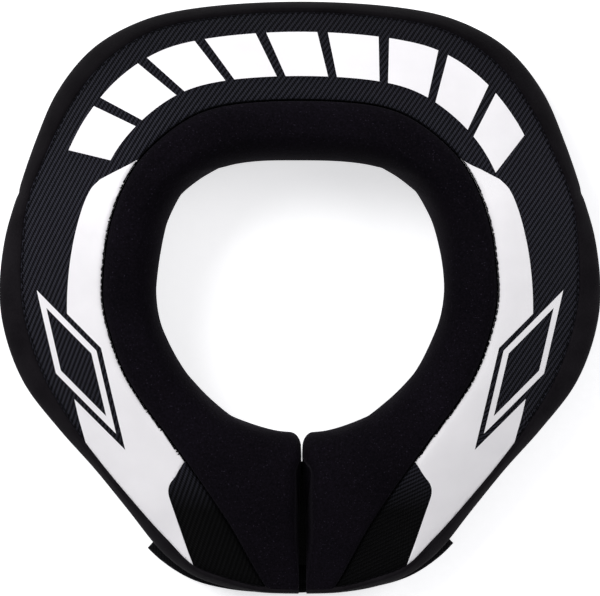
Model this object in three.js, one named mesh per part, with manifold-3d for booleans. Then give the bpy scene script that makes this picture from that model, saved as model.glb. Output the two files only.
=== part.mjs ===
// A padded foam neck brace for motocross: a ring of foam that opens at the front of the neck.
// Millimetres, +Z up. The front, where the two ends meet, faces -Y, and the nape of the neck faces +Y.
// Left and right are as seen from above with the front towards the viewer: left is -X.
import * as THREE from "three";
import { mergeVertices } from "three/addons/utils/BufferGeometryUtils.js";
import Module from "manifold-3d";

const wasm = await Module();
wasm.setup();

// Overall size
const WIDTH = 280; // across the widest point of the outer wall
const DEPTH = 277; // from the front ends to the back of the outer wall
const COLLAR_HEIGHT = 64; // top of the neck roll at the nape, above the underside
const SEAM_HEIGHT = 34; // seam between the top fabric and the outer wall, at the nape
const SHOULDER_ARCH = 8; // how far the underside rises over each shoulder

// Neck roll
const CREST_INSET = 13; // from the edge of the opening to the top of the roll
const ROLL_FOOT = 6; // how far the foot of the roll draws back from the opening
const ROLL_BULGE = 0.5; // height of the fullest part, as a share of the roll's height
const CREST_ROUNDING = 0.18; // how softly the roll turns into the slope, as a share of the slope's length
const SLIT = 2; // between the two front ends
const END_ROUNDING = 7; // radius of the padded edges at the slit

// Outer wall
const WALL_THICKNESS = 2.5;
const WALL_BULGE = 0.42; // height of the fullest part, as a share of the wall's height
const WALL_FOOT = 4; // how far the wall's foot draws in
const WALL_TURN = THREE.MathUtils.degToRad(65); // how far the wall has rolled over where it meets the top

// Underside and closure
const BASE_THICKNESS = 3;
const FLAP_THICKNESS = 3;
const FLAP_WIDTH = 61.5; // from the front edge of the brace back to the flap's inner edge
const FLAP_INNER_LENGTH = 68; // along that edge
const FLAP_OVERHANG = 4.4; // how far the flap's corners stand out from the wall
const FLAP_SHIFT = 1.6; // it was fastened a little to the left
const FLAP_TURN = THREE.MathUtils.degToRad(0.9); // and a little askew
const HOOK_THICKNESS = 1.2;
const HOOK_LENGTH = 100;
const HOOK_WIDTH = 42;
const HOOK_INSET = 6.5; // from the flap's inner edge to the patch

// Printed film on the top fabric
const PRINT_THICKNESS = 0.5;
const PRINT_MARGIN = 0.8; // from each seam to the film
const BLOCK_COUNT = 9;
const BLOCK_GAP = 4.5;
const BLOCK_SLANT = 7; // how far a block leans along the ring
const BLOCK_LOW = 0.26; // inner and outer edges of the blocks, as shares of the top fabric's width
const BLOCK_HIGH = 0.74;
const LOZENGE_LENGTH = 76;
const LOZENGE_WIDTH = 22;
const LOZENGE_BORDER = 2.6;
const LOZENGE_KEYLINE = 2.4; // bare fabric left around the lozenge
const LOZENGE_TILT = THREE.MathUtils.degToRad(61);

const CLEARANCE = 0.3; // between pieces that touch

// How finely the curves are cut into facets
const RING_STEPS = 68; // sections round the ring between the tips of the top fabric
const FLAP_STEPS = 10; // along each half of the flap's outer edge
const PRINT_STEPS = 16; // along a curved stretch of a print's outline

// Half of the ring, a row for each section from the slit round to the nape. in and out are the ends of the section
// in plan, at the opening and at the outer wall, as shares of half the width and half the depth. seam and edge are
// the two seams of the top fabric, as shares of the section's length. crest, wall and arch are shares of
// COLLAR_HEIGHT, SEAM_HEIGHT and SHOULDER_ARCH.
const COLUMNS = ["inX", "inY", "outX", "outY", "seam", "edge", "crest", "wall", "arch"];
const SECTIONS = [
  [0.0, -0.452, 0.0, -1.0, 1.25, 0.985, 0.74, 0.76, 0.0],
  [0.08, -0.447, 0.134, -0.995, 0.92, 0.985, 0.745, 0.77, 0.0],
  [0.157, -0.427, 0.251, -0.976, 0.655, 0.963, 0.755, 0.78, 0.0],
  [0.229, -0.396, 0.361, -0.936, 0.5, 0.957, 0.765, 0.79, 0.0],
  [0.294, -0.346, 0.462, -0.858, 0.425, 0.925, 0.78, 0.8, 0.5],
  [0.349, -0.288, 0.575, -0.716, 0.4, 0.945, 0.8, 0.83, 0.62],
  [0.396, -0.224, 0.687, -0.576, 0.395, 0.95, 0.82, 0.87, 0.72],
  [0.433, -0.151, 0.803, -0.445, 0.38, 0.915, 0.845, 0.9, 0.86],
  [0.462, -0.075, 0.93, -0.273, 0.337, 0.87, 0.87, 0.93, 0.97],
  [0.475, 0.0, 1.0, -0.043, 0.331, 0.866, 0.895, 0.95, 1.0],
  [0.475, 0.092, 0.988, 0.183, 0.329, 0.893, 0.92, 0.96, 0.95],
  [0.462, 0.178, 0.941, 0.354, 0.342, 0.937, 0.94, 0.97, 0.78],
  [0.438, 0.263, 0.885, 0.523, 0.337, 0.915, 0.96, 0.98, 0.48],
  [0.395, 0.34, 0.811, 0.696, 0.325, 0.895, 0.975, 0.99, 0.18],
  [0.332, 0.4, 0.692, 0.843, 0.317, 0.9, 0.985, 1.0, 0.0],
  [0.252, 0.442, 0.53, 0.935, 0.335, 0.925, 0.995, 1.0, 0.0],
  [0.164, 0.46, 0.351, 0.978, 0.35, 0.934, 1.0, 1.0, 0.0],
  [0.0, 0.467, 0.0, 1.0, 0.353, 0.945, 1.0, 1.0, 0.0],
].map((row) => Object.fromEntries(COLUMNS.map((name, i) => [name, row[i]])));

// Places round the ring, as shares of the way from the slit to the nape. The left half counts on from 1 at the nape.
const HALF_COUNT = 2; // halves of the ring, and so the place where the left half is back at the slit
const PANEL_TIP = 0.07; // where the top fabric runs out to a point beside the slit
const PANEL_BLEND = 0.024; // over which the roll widens there to the whole section
const WALL_SEAM = 0.647; // where the back and side pieces of the outer wall are sewn together
const FLAP_CORNER = 0.256;
const BLOCK_START = 0.712; // where the run of blocks starts
const END_PLACES = [0, 0.0035, 0.0094, 0.0176, 0.028, 0.039, 0.05, 0.06]; // closer where the ends round off

// The underside steps up onto the flap between these shares of half the depth
const SEAT_START = 0.62;
const SEAT_END = 0.78;

// Outlines of the prints on the right in plan, each point [across, towards the nape] in shares of half the width and
// half the depth. The side stripe is broad at the shoulder, is swept to a point at the front and has a chevron notch
// beside the roll. Where its outline runs past a seam, the film ends at the seam.
const STRIPE_TIP = [
  [0.44, 0.5],
  [0.525, 0.464],
];
const STRIPE_EDGE = [
  [0.659, 0.393],
  [0.692, 0.357],
  [0.722, 0.285],
  [0.749, 0.177],
  [0.765, 0.058],
  [0.769, -0.07],
  [0.759, -0.263],
  [0.739, -0.381],
  [0.719, -0.459],
];
const STRIPE_POINT = [
  [0.82, -0.6],
  [0.4, -1.05],
  [0.351, -0.912],
];
const STRIPE_NOTCH = [
  [0.431, -0.676],
  [0.446, -0.634],
  [0.418, -0.606],
];
const STRIPE_ROOT = [
  [0.374, -0.547],
  [0.2, -0.35],
];
const LOZENGE_PLACE = [0.74, -0.215];

// Colours as in the photograph
const FLEECE = new THREE.MeshStandardMaterial({ color: 0x17151a, roughness: 0.95, metalness: 0 });
const TWILL = new THREE.MeshStandardMaterial({ color: 0x1c1c22, roughness: 0.55, metalness: 0 });
const NEOPRENE = new THREE.MeshStandardMaterial({ color: 0x141215, roughness: 0.85, metalness: 0 });
const LINING = new THREE.MeshStandardMaterial({ color: 0x111114, roughness: 0.9, metalness: 0 });
const HOOK_TAPE = new THREE.MeshStandardMaterial({ color: 0x0b0b0d, roughness: 0.7, metalness: 0 });
const WHITE_PRINT = new THREE.MeshStandardMaterial({ color: 0xeceaee, roughness: 0.45, metalness: 0 });

// The ring as three curves through the rows, right half first and then the left half mirrored.
function ringCurve(pointOfRow, type) {
  const right = SECTIONS.map((row, i) => pointOfRow(row, 1, i === 0));
  const left = SECTIONS.slice(0, -1).map((row, i) => pointOfRow(row, -1, i === 0));
  return new THREE.CatmullRomCurve3([...right, ...left.reverse()], false, type);
}
const acrossAt = (share, side, atSlit) => side * (atSlit ? SLIT / 2 : (share * WIDTH) / 2);
const openingCurve = ringCurve(
  (row, side, atSlit) =>
    new THREE.Vector3(acrossAt(row.inX, side, atSlit), (row.inY * DEPTH) / 2, row.crest * COLLAR_HEIGHT),
  "centripetal",
);
const outlineCurve = ringCurve(
  (row, side, atSlit) =>
    new THREE.Vector3(acrossAt(row.outX, side, atSlit), (row.outY * DEPTH) / 2, row.wall * SEAM_HEIGHT),
  "centripetal",
);
const shareCurve = ringCurve((row) => new THREE.Vector3(row.seam, row.edge, row.arch), "catmullrom");

const FLAP_SEAT = FLAP_THICKNESS + HOOK_THICKNESS + 2 * CLEARANCE;

// Everything that the section at place v of the ring needs to know.
function sectionAt(v) {
  const opening = openingCurve.getPoint(v / HALF_COUNT);
  const outline = outlineCurve.getPoint(v / HALF_COUNT);
  const share = shareCurve.getPoint(v / HALF_COUNT);
  const inner = new THREE.Vector2(opening.x, opening.y);
  const outer = new THREE.Vector2(outline.x, outline.y);
  const length = inner.distanceTo(outer);
  const seat = THREE.MathUtils.smoothstep((-2 * outer.y) / DEPTH, SEAT_START, SEAT_END) * FLAP_SEAT;
  const middle = inner.clone().lerp(outer, 0.5);
  const fromSlit = middle.y < 0 ? Math.abs(middle.x) - SLIT / 2 : END_ROUNDING;
  const reach = THREE.MathUtils.clamp(END_ROUNDING - fromSlit, 0, END_ROUNDING);
  return {
    inner,
    outward: outer.clone().sub(inner).divideScalar(length),
    length,
    seam: Math.min(share.x, share.y) * length,
    edge: share.y * length,
    crest: opening.z,
    wallTop: outline.z,
    underside: Math.max(0, share.z * SHOULDER_ARCH, seat),
    rounding: END_ROUNDING - Math.sqrt(END_ROUNDING ** 2 - reach ** 2),
  };
}

// A point of a section, s out from the opening and z up, in the frame of the brace.
const place = (section, [s, z]) =>
  new THREE.Vector3(section.inner.x + section.outward.x * s, section.inner.y + section.outward.y * s, z);

// Bottom of the padding and the wall, which stand on the base layer.
const floorOf = (section) => section.underside + BASE_THICKNESS + CLEARANCE;

// Height of the top surface from the crest of the roll down to the wall.
function topHeight(section, s) {
  const t = (s - CREST_INSET) / (section.edge - CREST_INSET);
  const k = CREST_ROUNDING;
  const drop = (Math.hypot(t, k) - k) / (Math.hypot(1, k) - k);
  return section.crest - (section.crest - section.wallTop) * drop;
}

const range = (count) => Array.from({ length: count + 1 }, (_, i) => i / count);

// Quarter of an ellipse between two points, flat at the first and upright at the second.
const quarter = ([s0, z0], [s1, z1], count) =>
  range(count).map((t) => {
    const angle = (t * Math.PI) / 2;
    return [s0 + (s1 - s0) * Math.sin(angle), z1 + (z0 - z1) * Math.cos(angle)];
  });

// The padded edge at the slit: heights come down by the rounding, and the opening's edge draws out by it.
function lowered(section, [s, z]) {
  const floor = floorOf(section);
  return [s, floor + (z - floor) * (1 - section.rounding / (section.crest - floor))];
}
const drawnOut = (section, [s, z]) => [s + section.rounding * Math.max(0, 1 - s / section.edge), z];

// Outer face of the wall from its seam with the top down to its foot, drawn in by depth.
function wallFace(section, depth) {
  const floor = floorOf(section);
  const bulgeZ = floor + WALL_BULGE * (section.wallTop - floor);
  const upperS = (section.length - section.edge) / (1 - Math.cos(WALL_TURN));
  const upperZ = (section.wallTop - bulgeZ) / Math.sin(WALL_TURN);
  const upper = range(3).map((t) => {
    const angle = WALL_TURN * (1 - t);
    const [run, rise] = [Math.cos(angle), Math.sin(angle)];
    return { s: upperS * (1 - run), z: upperZ * rise, ns: run * upperZ, nz: rise * upperS };
  });
  const lowerZ = bulgeZ - floor;
  const lower = range(2).slice(1).map((t) => {
    const angle = (t * Math.PI) / 2;
    return { s: WALL_FOOT * (1 - Math.cos(angle)), z: -lowerZ * Math.sin(angle), ns: 1, nz: 0 };
  });
  return [...upper, ...lower].map(({ s, z, ns, nz }) => {
    const norm = Math.hypot(ns, nz);
    return [section.length - s - (depth * ns) / norm, bulgeZ + z - (depth * nz) / norm];
  });
}

function collarProfile(section, v) {
  const floor = floorOf(section);
  const bulge = [0, floor + ROLL_BULGE * (section.crest - floor)];
  const outerLimit = Math.min(section.seam - CLEARANCE / 2, section.edge - CLEARANCE);
  const lower = quarter([ROLL_FOOT, floor], bulge, 3);
  const upper = quarter([CREST_INSET, section.crest], bulge, 5).reverse();
  const slope = range(4).slice(1).map((t) => {
    const s = CREST_INSET + (outerLimit - CREST_INSET) * t;
    return [s, topHeight(section, s)];
  });
  // Beside the slit the roll takes the whole section, out to the inside of the wall.
  const beside = THREE.MathUtils.clamp((PANEL_TIP - Math.min(v, HALF_COUNT - v)) / PANEL_BLEND, 0, 1);
  const back = wallFace(section, WALL_THICKNESS + CLEARANCE).map(([s, z]) => [
    THREE.MathUtils.lerp(Math.min(s, outerLimit), s, beside),
    Math.min(z, slope.at(-1)[1] - CLEARANCE),
  ]);
  const front = [...lower, ...upper.slice(1), ...slope].map((p) => drawnOut(section, p));
  return [...front, ...back].map((p) => lowered(section, p));
}

function padProfile(section) {
  const start = section.seam + CLEARANCE / 2;
  const end = section.edge - CLEARANCE;
  const top = range(5).map((t) => {
    const s = start + (end - start) * t;
    return [s, topHeight(section, s)];
  });
  const outside = wallFace(section, WALL_THICKNESS + CLEARANCE);
  return [[start, floorOf(section)], ...top, ...outside];
}

function wallProfile(section) {
  const outside = wallFace(section, 0);
  const inside = wallFace(section, WALL_THICKNESS).reverse();
  return [...outside, ...inside].map((p) => lowered(section, p));
}

function baseProfile(section) {
  const low = section.underside;
  const inside = ROLL_FOOT;
  const outside = section.length - WALL_FOOT;
  return [
    [inside, low],
    [outside, low],
    [outside, low + BASE_THICKNESS],
    [inside, low + BASE_THICKNESS],
  ];
}

function filmProfile(section) {
  const start = section.seam + PRINT_MARGIN;
  const end = section.edge - PRINT_MARGIN;
  const fall = section.crest - section.wallTop;
  const lift = (CLEARANCE * Math.hypot(fall, end - start)) / (end - start);
  const under = range(5).map((t) => {
    const s = start + (end - start) * t;
    return [s, topHeight(section, s) + lift];
  });
  const over = under.map(([s, z]) => [s, z + PRINT_THICKNESS]).reverse();
  return [...under, ...over];
}

// Places at even steps between two ends of a run.
function evenPlaces(first, last, steps) {
  return range(steps).map((t) => first + (last - first) * t);
}

// Every piece takes its sections from the same places, so that the facets of neighbours lie side by side.
const RING_PLACES = [
  ...END_PLACES,
  ...evenPlaces(PANEL_TIP, HALF_COUNT - PANEL_TIP, RING_STEPS),
  ...END_PLACES.map((v) => HALF_COUNT - v).reverse(),
];
const placesBetween = (first, last) => [first, ...RING_PLACES.filter((v) => v > first && v < last), last];

// A closed body through the sections at the given places, with a flat cap at each end.
function loft(places, profile) {
  const sections = places.map(sectionAt);
  const profiles = sections.map((section, i) => profile(section, places[i]));
  const around = profiles[0].length;
  const positions = profiles.flatMap((points, i) => points.flatMap((p) => place(sections[i], p).toArray()));
  const index = [];
  const corner = (k) => new THREE.Vector3().fromArray(positions, 3 * k);
  for (let i = 0; i + 1 < places.length; i += 1) {
    for (let j = 0; j < around; j += 1) {
      const a = i * around + j;
      const b = i * around + ((j + 1) % around);
      const [c, d] = [a + around, b + around];
      const split = corner(a).distanceTo(corner(d)) < corner(b).distanceTo(corner(c));
      index.push(...(split ? [a, b, d, a, d, c] : [a, b, c, b, d, c]));
    }
  }
  const flatten = (points) => points.map(([s, z]) => new THREE.Vector2(s, z));
  const cap = (points, offset, flip) => {
    for (const [a, b, c] of THREE.ShapeUtils.triangulateShape(flatten(points), [])) {
      index.push(offset + a, offset + (flip ? c : b), offset + (flip ? b : c));
    }
  };
  const clockwise = THREE.ShapeUtils.area(flatten(profiles[0])) < 0;
  cap(profiles[0], 0, !clockwise);
  cap(profiles.at(-1), (places.length - 1) * around, clockwise);
  const geometry = new THREE.BufferGeometry();
  geometry.setAttribute("position", new THREE.Float32BufferAttribute(positions, 3));
  geometry.setIndex(index);
  return facingOut(geometry);
}

// Turns a closed geometry's triangles round if they face inwards.
function facingOut(geometry) {
  const p = geometry.getAttribute("position");
  const index = geometry.index.array;
  const [a, b, c] = [new THREE.Vector3(), new THREE.Vector3(), new THREE.Vector3()];
  let volume = 0;
  for (let i = 0; i < index.length; i += 3) {
    a.fromBufferAttribute(p, index[i]);
    b.fromBufferAttribute(p, index[i + 1]);
    c.fromBufferAttribute(p, index[i + 2]);
    volume += a.dot(b.cross(c));
  }
  if (volume < 0) {
    for (let i = 0; i < index.length; i += 3) [index[i + 1], index[i + 2]] = [index[i + 2], index[i + 1]];
  }
  return geometry;
}

function toManifold(geometry) {
  const bare = geometry.clone();
  bare.deleteAttribute("normal");
  bare.deleteAttribute("uv");
  const merged = mergeVertices(bare, 1e-4);
  return new wasm.Manifold(
    new wasm.Mesh({
      numProp: 3,
      vertProperties: new Float32Array(merged.getAttribute("position").array),
      triVerts: new Uint32Array(merged.index.array),
    }),
  );
}

function fromManifold(solid) {
  const mesh = solid.getMesh();
  const geometry = new THREE.BufferGeometry();
  geometry.setAttribute("position", new THREE.Float32BufferAttribute(mesh.vertProperties, 3));
  geometry.setIndex(new THREE.Uint32BufferAttribute(mesh.triVerts, 1));
  return geometry;
}

const brace = new THREE.Group();
function add(name, geometry, material) {
  geometry.computeVertexNormals();
  const mesh = new THREE.Mesh(geometry, material);
  mesh.name = name;
  brace.add(mesh);
  return mesh;
}

add("neck_collar", loft(placesBetween(0, HALF_COUNT), collarProfile), FLEECE);
add("shoulder_pad", loft(placesBetween(PANEL_TIP, HALF_COUNT - PANEL_TIP), padProfile), TWILL);

// The outer wall, in three pieces sewn end to end, with half a clearance on each side of a seam.
const seamGap = CLEARANCE / outlineCurve.getLength();
const wall = (first, last) => loft(placesBetween(first, last), wallProfile);
add("side_wall_right", wall(0, WALL_SEAM - seamGap), NEOPRENE);
add("back_wall", wall(WALL_SEAM + seamGap, HALF_COUNT - WALL_SEAM - seamGap), NEOPRENE);
add("side_wall_left", wall(HALF_COUNT - WALL_SEAM + seamGap, HALF_COUNT), NEOPRENE);
add("base_panel", loft(placesBetween(0, HALF_COUNT), baseProfile), LINING);

// The closure: a wide flap under both front ends, held by a patch of hook tape. Its outer edge follows the wall and
// stands further out towards each corner.
function flapShape() {
  const flapEdge = (atSlit, atCorner) =>
    evenPlaces(atSlit, atCorner, FLAP_STEPS).map((v, i) => {
      const section = sectionAt(v);
      const overhang = THREE.MathUtils.lerp(CLEARANCE, FLAP_OVERHANG, (i / FLAP_STEPS) ** 2);
      const p = place(section, [section.length + overhang, 0]);
      return new THREE.Vector2(p.x, p.y);
    });
  return new THREE.Shape([
    ...flapEdge(HALF_COUNT, HALF_COUNT - FLAP_CORNER).reverse(),
    ...flapEdge(0, FLAP_CORNER),
    new THREE.Vector2(FLAP_INNER_LENGTH / 2, FLAP_WIDTH - DEPTH / 2),
    new THREE.Vector2(-FLAP_INNER_LENGTH / 2, FLAP_WIDTH - DEPTH / 2),
  ]);
}
const flat = (shape, depth) => new THREE.ExtrudeGeometry(shape, { depth, bevelEnabled: false });
const closureFlap = add("closure_flap", flat(flapShape(), FLAP_THICKNESS), LINING);
closureFlap.position.x = -FLAP_SHIFT;
closureFlap.rotation.z = FLAP_TURN;
const hookPatch = add("hook_patch", new THREE.BoxGeometry(HOOK_LENGTH, HOOK_WIDTH, HOOK_THICKNESS), HOOK_TAPE);
hookPatch.position.set(
  0,
  FLAP_WIDTH - HOOK_INSET - HOOK_WIDTH / 2 - DEPTH / 2,
  FLAP_THICKNESS + CLEARANCE + HOOK_THICKNESS / 2,
);

// White film on the top fabric: each print is the part of one thin layer that stands over its outline in plan.
const film = toManifold(loft(placesBetween(PANEL_TIP, HALF_COUNT - PANEL_TIP), filmProfile));
const prism = (shape) => toManifold(flat(shape, 2 * COLLAR_HEIGHT));
const onFilm = (outline) => fromManifold(film.intersect(outline));

// A point of the plan at place v, share of the way across the top fabric from the roll to the wall.
function onTop(v, share) {
  const section = sectionAt(v);
  const p = place(section, [section.seam + (section.edge - section.seam) * share, 0]);
  return new THREE.Vector2(p.x, p.y);
}

// Points of a print's outline in plan, mirrored for the left side.
const inPlan = (side, points) => points.map(([x, y]) => new THREE.Vector2((side * x * WIDTH) / 2, (y * DEPTH) / 2));

function stripeShape(side) {
  return new THREE.Shape([
    ...inPlan(side, STRIPE_TIP),
    ...new THREE.SplineCurve(inPlan(side, STRIPE_EDGE)).getPoints(PRINT_STEPS),
    ...inPlan(side, STRIPE_POINT),
    ...new THREE.QuadraticBezierCurve(...inPlan(side, STRIPE_NOTCH)).getPoints(PRINT_STEPS / 4),
    ...inPlan(side, STRIPE_ROOT),
  ]);
}

// A lozenge on the outer edge of the stripe, its sides moved out by grow.
function lozengeShape(side, grow) {
  const [centre] = inPlan(side, [LOZENGE_PLACE]);
  const along = new THREE.Vector2(side * Math.cos(LOZENGE_TILT), Math.sin(LOZENGE_TILT));
  const across = new THREE.Vector2(-along.y, along.x);
  const diagonal = Math.hypot(LOZENGE_LENGTH, LOZENGE_WIDTH);
  along.multiplyScalar(LOZENGE_LENGTH / 2 + (grow * diagonal) / LOZENGE_WIDTH);
  across.multiplyScalar(LOZENGE_WIDTH / 2 + (grow * diagonal) / LOZENGE_LENGTH);
  return new THREE.Shape([
    centre.clone().add(along),
    centre.clone().add(across),
    centre.clone().sub(along),
    centre.clone().sub(across),
  ]);
}

for (const [name, side] of [["right", 1], ["left", -1]]) {
  const keyline = prism(lozengeShape(side, LOZENGE_KEYLINE));
  const border = prism(lozengeShape(side, 0)).subtract(prism(lozengeShape(side, -LOZENGE_BORDER)));
  add(`side_stripe_${name}`, onFilm(prism(stripeShape(side)).subtract(keyline)), WHITE_PRINT);
  add(`side_lozenge_${name}`, onFilm(border), WHITE_PRINT);
}

// A run of slanted blocks round the nape.
function blockShapes() {
  const places = evenPlaces(BLOCK_START, HALF_COUNT - BLOCK_START, RING_STEPS);
  const arc = new THREE.SplineCurve(places.map((v) => onTop(v, (BLOCK_LOW + BLOCK_HIGH) / 2)));
  const total = arc.getLength();
  const placeAt = (distance) => THREE.MathUtils.lerp(places[0], places.at(-1), arc.getUtoTmapping(distance / total));
  const pitch = (total - BLOCK_SLANT) / BLOCK_COUNT;
  return Array.from({ length: BLOCK_COUNT }, (_, i) => {
    const start = i * pitch + BLOCK_GAP / 2;
    const end = (i + 1) * pitch - BLOCK_GAP / 2;
    return new THREE.Shape([
      onTop(placeAt(start), BLOCK_LOW),
      onTop(placeAt(end), BLOCK_LOW),
      onTop(placeAt(end + BLOCK_SLANT), BLOCK_HIGH),
      onTop(placeAt(start + BLOCK_SLANT), BLOCK_HIGH),
    ]);
  });
}
blockShapes().forEach((shape, i) => add(`back_block_${i + 1}`, onFilm(prism(shape)), WHITE_PRINT));

// The origin is the middle of the brace in plan, on the surface that it lies on.
brace.updateMatrixWorld(true);
const box = new THREE.Box3().setFromObject(brace, true);
const centre = box.getCenter(new THREE.Vector3());
brace.position.set(-centre.x, -centre.y, -box.min.z);

export default brace;
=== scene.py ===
# A padded foam neck brace for motocross, dressed for its portrait from straight above.
# Lengths in the first part are millimetres, as a pattern cutter would have them; meshes are in metres.
import math
from types import SimpleNamespace

import bmesh
import bpy
from mathutils import Matrix, Vector, noise
from mathutils.bvhtree import BVHTree
from mathutils.geometry import delaunay_2d_cdt


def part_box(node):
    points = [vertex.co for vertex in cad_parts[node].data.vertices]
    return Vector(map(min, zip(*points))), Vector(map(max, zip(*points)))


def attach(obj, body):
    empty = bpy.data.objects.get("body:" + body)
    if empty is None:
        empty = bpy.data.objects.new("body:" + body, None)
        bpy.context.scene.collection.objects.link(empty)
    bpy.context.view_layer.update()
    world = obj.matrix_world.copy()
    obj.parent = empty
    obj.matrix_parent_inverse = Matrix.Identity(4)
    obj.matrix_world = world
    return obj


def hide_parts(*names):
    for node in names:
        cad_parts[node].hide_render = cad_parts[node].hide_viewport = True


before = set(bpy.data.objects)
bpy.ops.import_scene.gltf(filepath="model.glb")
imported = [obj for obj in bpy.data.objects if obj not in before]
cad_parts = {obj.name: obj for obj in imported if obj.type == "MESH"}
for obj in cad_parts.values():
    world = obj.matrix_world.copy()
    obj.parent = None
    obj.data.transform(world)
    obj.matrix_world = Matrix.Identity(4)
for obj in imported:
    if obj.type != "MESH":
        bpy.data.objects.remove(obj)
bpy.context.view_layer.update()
scene = bpy.context.scene
MM = 0.001

# The pattern of the brace
WIDTH, DEPTH = 280, 277
COLLAR_HEIGHT, SEAM_HEIGHT, SHOULDER_ARCH = 64, 34, 8
CREST_INSET, ROLL_FOOT, ROLL_BULGE, CREST_ROUNDING = 13, 6, 0.5, 0.18
SLIT, END_ROUNDING = 0.5, 7
SLIT_SHIFT = 0.8  # the ends meet a little to the right
SHIFT_REACH = 14  # which fades this far to either side
END_SPREAD = {1: 4.5, -1: 2.7}  # and they lean apart away from the neck, the right one more
SPREAD_START, SPREAD_FULL = 11.5, 17.5  # how far out from the opening they part
SPREAD_EASES, SPREAD_LOST = 48, 0.6  # and from where on they draw together again, by what share
SPREAD_REACH = 8
WALL_THICKNESS, WALL_BULGE, WALL_FOOT, WALL_TURN = 2.5, 0.42, 4, math.radians(65)
LINING_THICKNESS = 3
FLAP_THICKNESS, FLAP_WIDTH, FLAP_INNER_LENGTH = 3, 61.5, 68
FLAP_OVERHANG, FLAP_SHIFT, FLAP_TURN = 4.4, 1.6, math.radians(0.9)
HOOK_THICKNESS = 1.2
BLOCK_COUNT, BLOCK_GAP, BLOCK_SLANT, BLOCK_LOW, BLOCK_HIGH = 9, 4.5, 7, 0.26, 0.74
LOZENGE_LENGTH, LOZENGE_WIDTH, LOZENGE_BORDER, LOZENGE_KEYLINE = 76, 22, 2.6, 2.4
LOZENGE_TILT = math.radians(61)
GAP = 0.3
FLAP_SEAT = FLAP_THICKNESS + HOOK_THICKNESS + 2 * GAP

# places round the ring, as shares of the way from the slit to the nape
PANEL_TIP, COVER_TIP, COVER_BLEND = 0.07, 0.049, 0.014
WALL_SEAM, FLAP_CORNER, BLOCK_START = 0.647, 0.256, 0.712
# the underside steps up onto the flap between these shares of half the depth
SEAT_START, SEAT_END = 0.62, 0.78

# inX, inY, outX, outY, seam, edge, crest, wall, arch: half of the ring, from the slit round to the nape
SECTIONS = [
    (0.0, -0.452, 0.0, -1.0, 1.25, 0.985, 0.74, 0.76, 0.0),
    (0.08, -0.447, 0.134, -0.995, 0.92, 0.985, 0.745, 0.77, 0.0),
    (0.157, -0.427, 0.251, -0.976, 0.655, 0.963, 0.755, 0.78, 0.0),
    (0.229, -0.396, 0.361, -0.936, 0.5, 0.957, 0.765, 0.79, 0.0),
    (0.294, -0.346, 0.462, -0.858, 0.425, 0.925, 0.78, 0.8, 0.5),
    (0.349, -0.288, 0.575, -0.716, 0.4, 0.945, 0.8, 0.83, 0.62),
    (0.396, -0.224, 0.687, -0.576, 0.395, 0.95, 0.82, 0.87, 0.72),
    (0.433, -0.151, 0.803, -0.445, 0.38, 0.915, 0.845, 0.9, 0.86),
    (0.462, -0.075, 0.93, -0.273, 0.337, 0.87, 0.87, 0.93, 0.97),
    (0.475, 0.0, 1.0, -0.043, 0.331, 0.866, 0.895, 0.95, 1.0),
    (0.475, 0.092, 0.988, 0.183, 0.329, 0.893, 0.92, 0.96, 0.95),
    (0.462, 0.178, 0.941, 0.354, 0.342, 0.937, 0.94, 0.97, 0.78),
    (0.438, 0.263, 0.885, 0.523, 0.337, 0.915, 0.96, 0.98, 0.48),
    (0.395, 0.34, 0.811, 0.696, 0.325, 0.895, 0.975, 0.99, 0.18),
    (0.332, 0.4, 0.692, 0.843, 0.317, 0.9, 0.985, 1.0, 0.0),
    (0.252, 0.442, 0.53, 0.935, 0.335, 0.925, 0.995, 1.0, 0.0),
    (0.164, 0.46, 0.351, 0.978, 0.35, 0.934, 1.0, 1.0, 0.0),
    (0.0, 0.467, 0.0, 1.0, 0.353, 0.945, 1.0, 1.0, 0.0),
]

# outlines of the prints on the right, in shares of half the width and half the depth
STRIPE_TIP = [(0.44, 0.5), (0.525, 0.464)]
STRIPE_EDGE = [(0.659, 0.393), (0.692, 0.357), (0.722, 0.285), (0.749, 0.177), (0.765, 0.058),
               (0.769, -0.07), (0.759, -0.263), (0.739, -0.381), (0.719, -0.459)]
STRIPE_POINT = [(0.712, -0.486), (0.82, -0.6), (0.4, -1.05), (0.351, -0.912)]
STRIPE_NOTCH = [(0.431, -0.676), (0.446, -0.634), (0.418, -0.606)]
STRIPE_ROOT = [(0.374, -0.547), (0.2, -0.35)]
LOZENGE_PLACE = (0.74, -0.215)

# how the covers are padded, millimetres, and how finely they are drawn
ROLL_PROUD = 1.3  # the roll stands this far above the top fabric at their seam
ROLL_SWELL = 1.0  # and this much fuller halfway up its slope
ROLL_LIP, ROLL_TUCK = 3.2, 2.6  # width and depth of the roll's turn down into the seam
COVER_SWELL = 1.1
COVER_CROWN = 0.8  # a crown flatter than a sine
COVER_FULL_WIDTH = 25  # a cover narrower than this is padded less
COVER_LIP, COVER_TUCK = 3.0, 1.6
COVER_BACK_STEP = 0.2  # behind the wall its rows come down by at least this
LIP_STEPS = 4
CAP_RINGS = (0.85, 0.62, 0.38, 0.16)  # the rings that close a cover's end, as shares of its outline
WALL_STEPS = (10, 12)  # rows above and below the wall's fullest line
WALL_PROUD, PROUD_ROWS = 0.9, 5  # the uppermost rows stand above the top fabric
SEAM_PINCH, PINCH_REACH = 0.4, 0.005  # the wall is drawn in where its lengths are sewn together
SEAM_LAP = 0.0002  # and they overlap there by a hair
SEAM_ROWS = (0.0003, 0.0008, 0.0018, 0.0035, 0.006, 0.009, 0.012)  # with rows close together beside it
FOOT_SEAM, FOOT_GROOVE = 5, 0.7  # stitched line above the wall's foot, and how deep it is drawn in
LINING_SEAM, LINING_GROOVE, LINING_GROOVE_WIDTH = 4.5, 0.7, 1.1
FLAP_SEAM, FLAP_GROOVE, FLAP_GROOVE_WIDTH = 4.5, 0.55, 0.7

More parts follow.
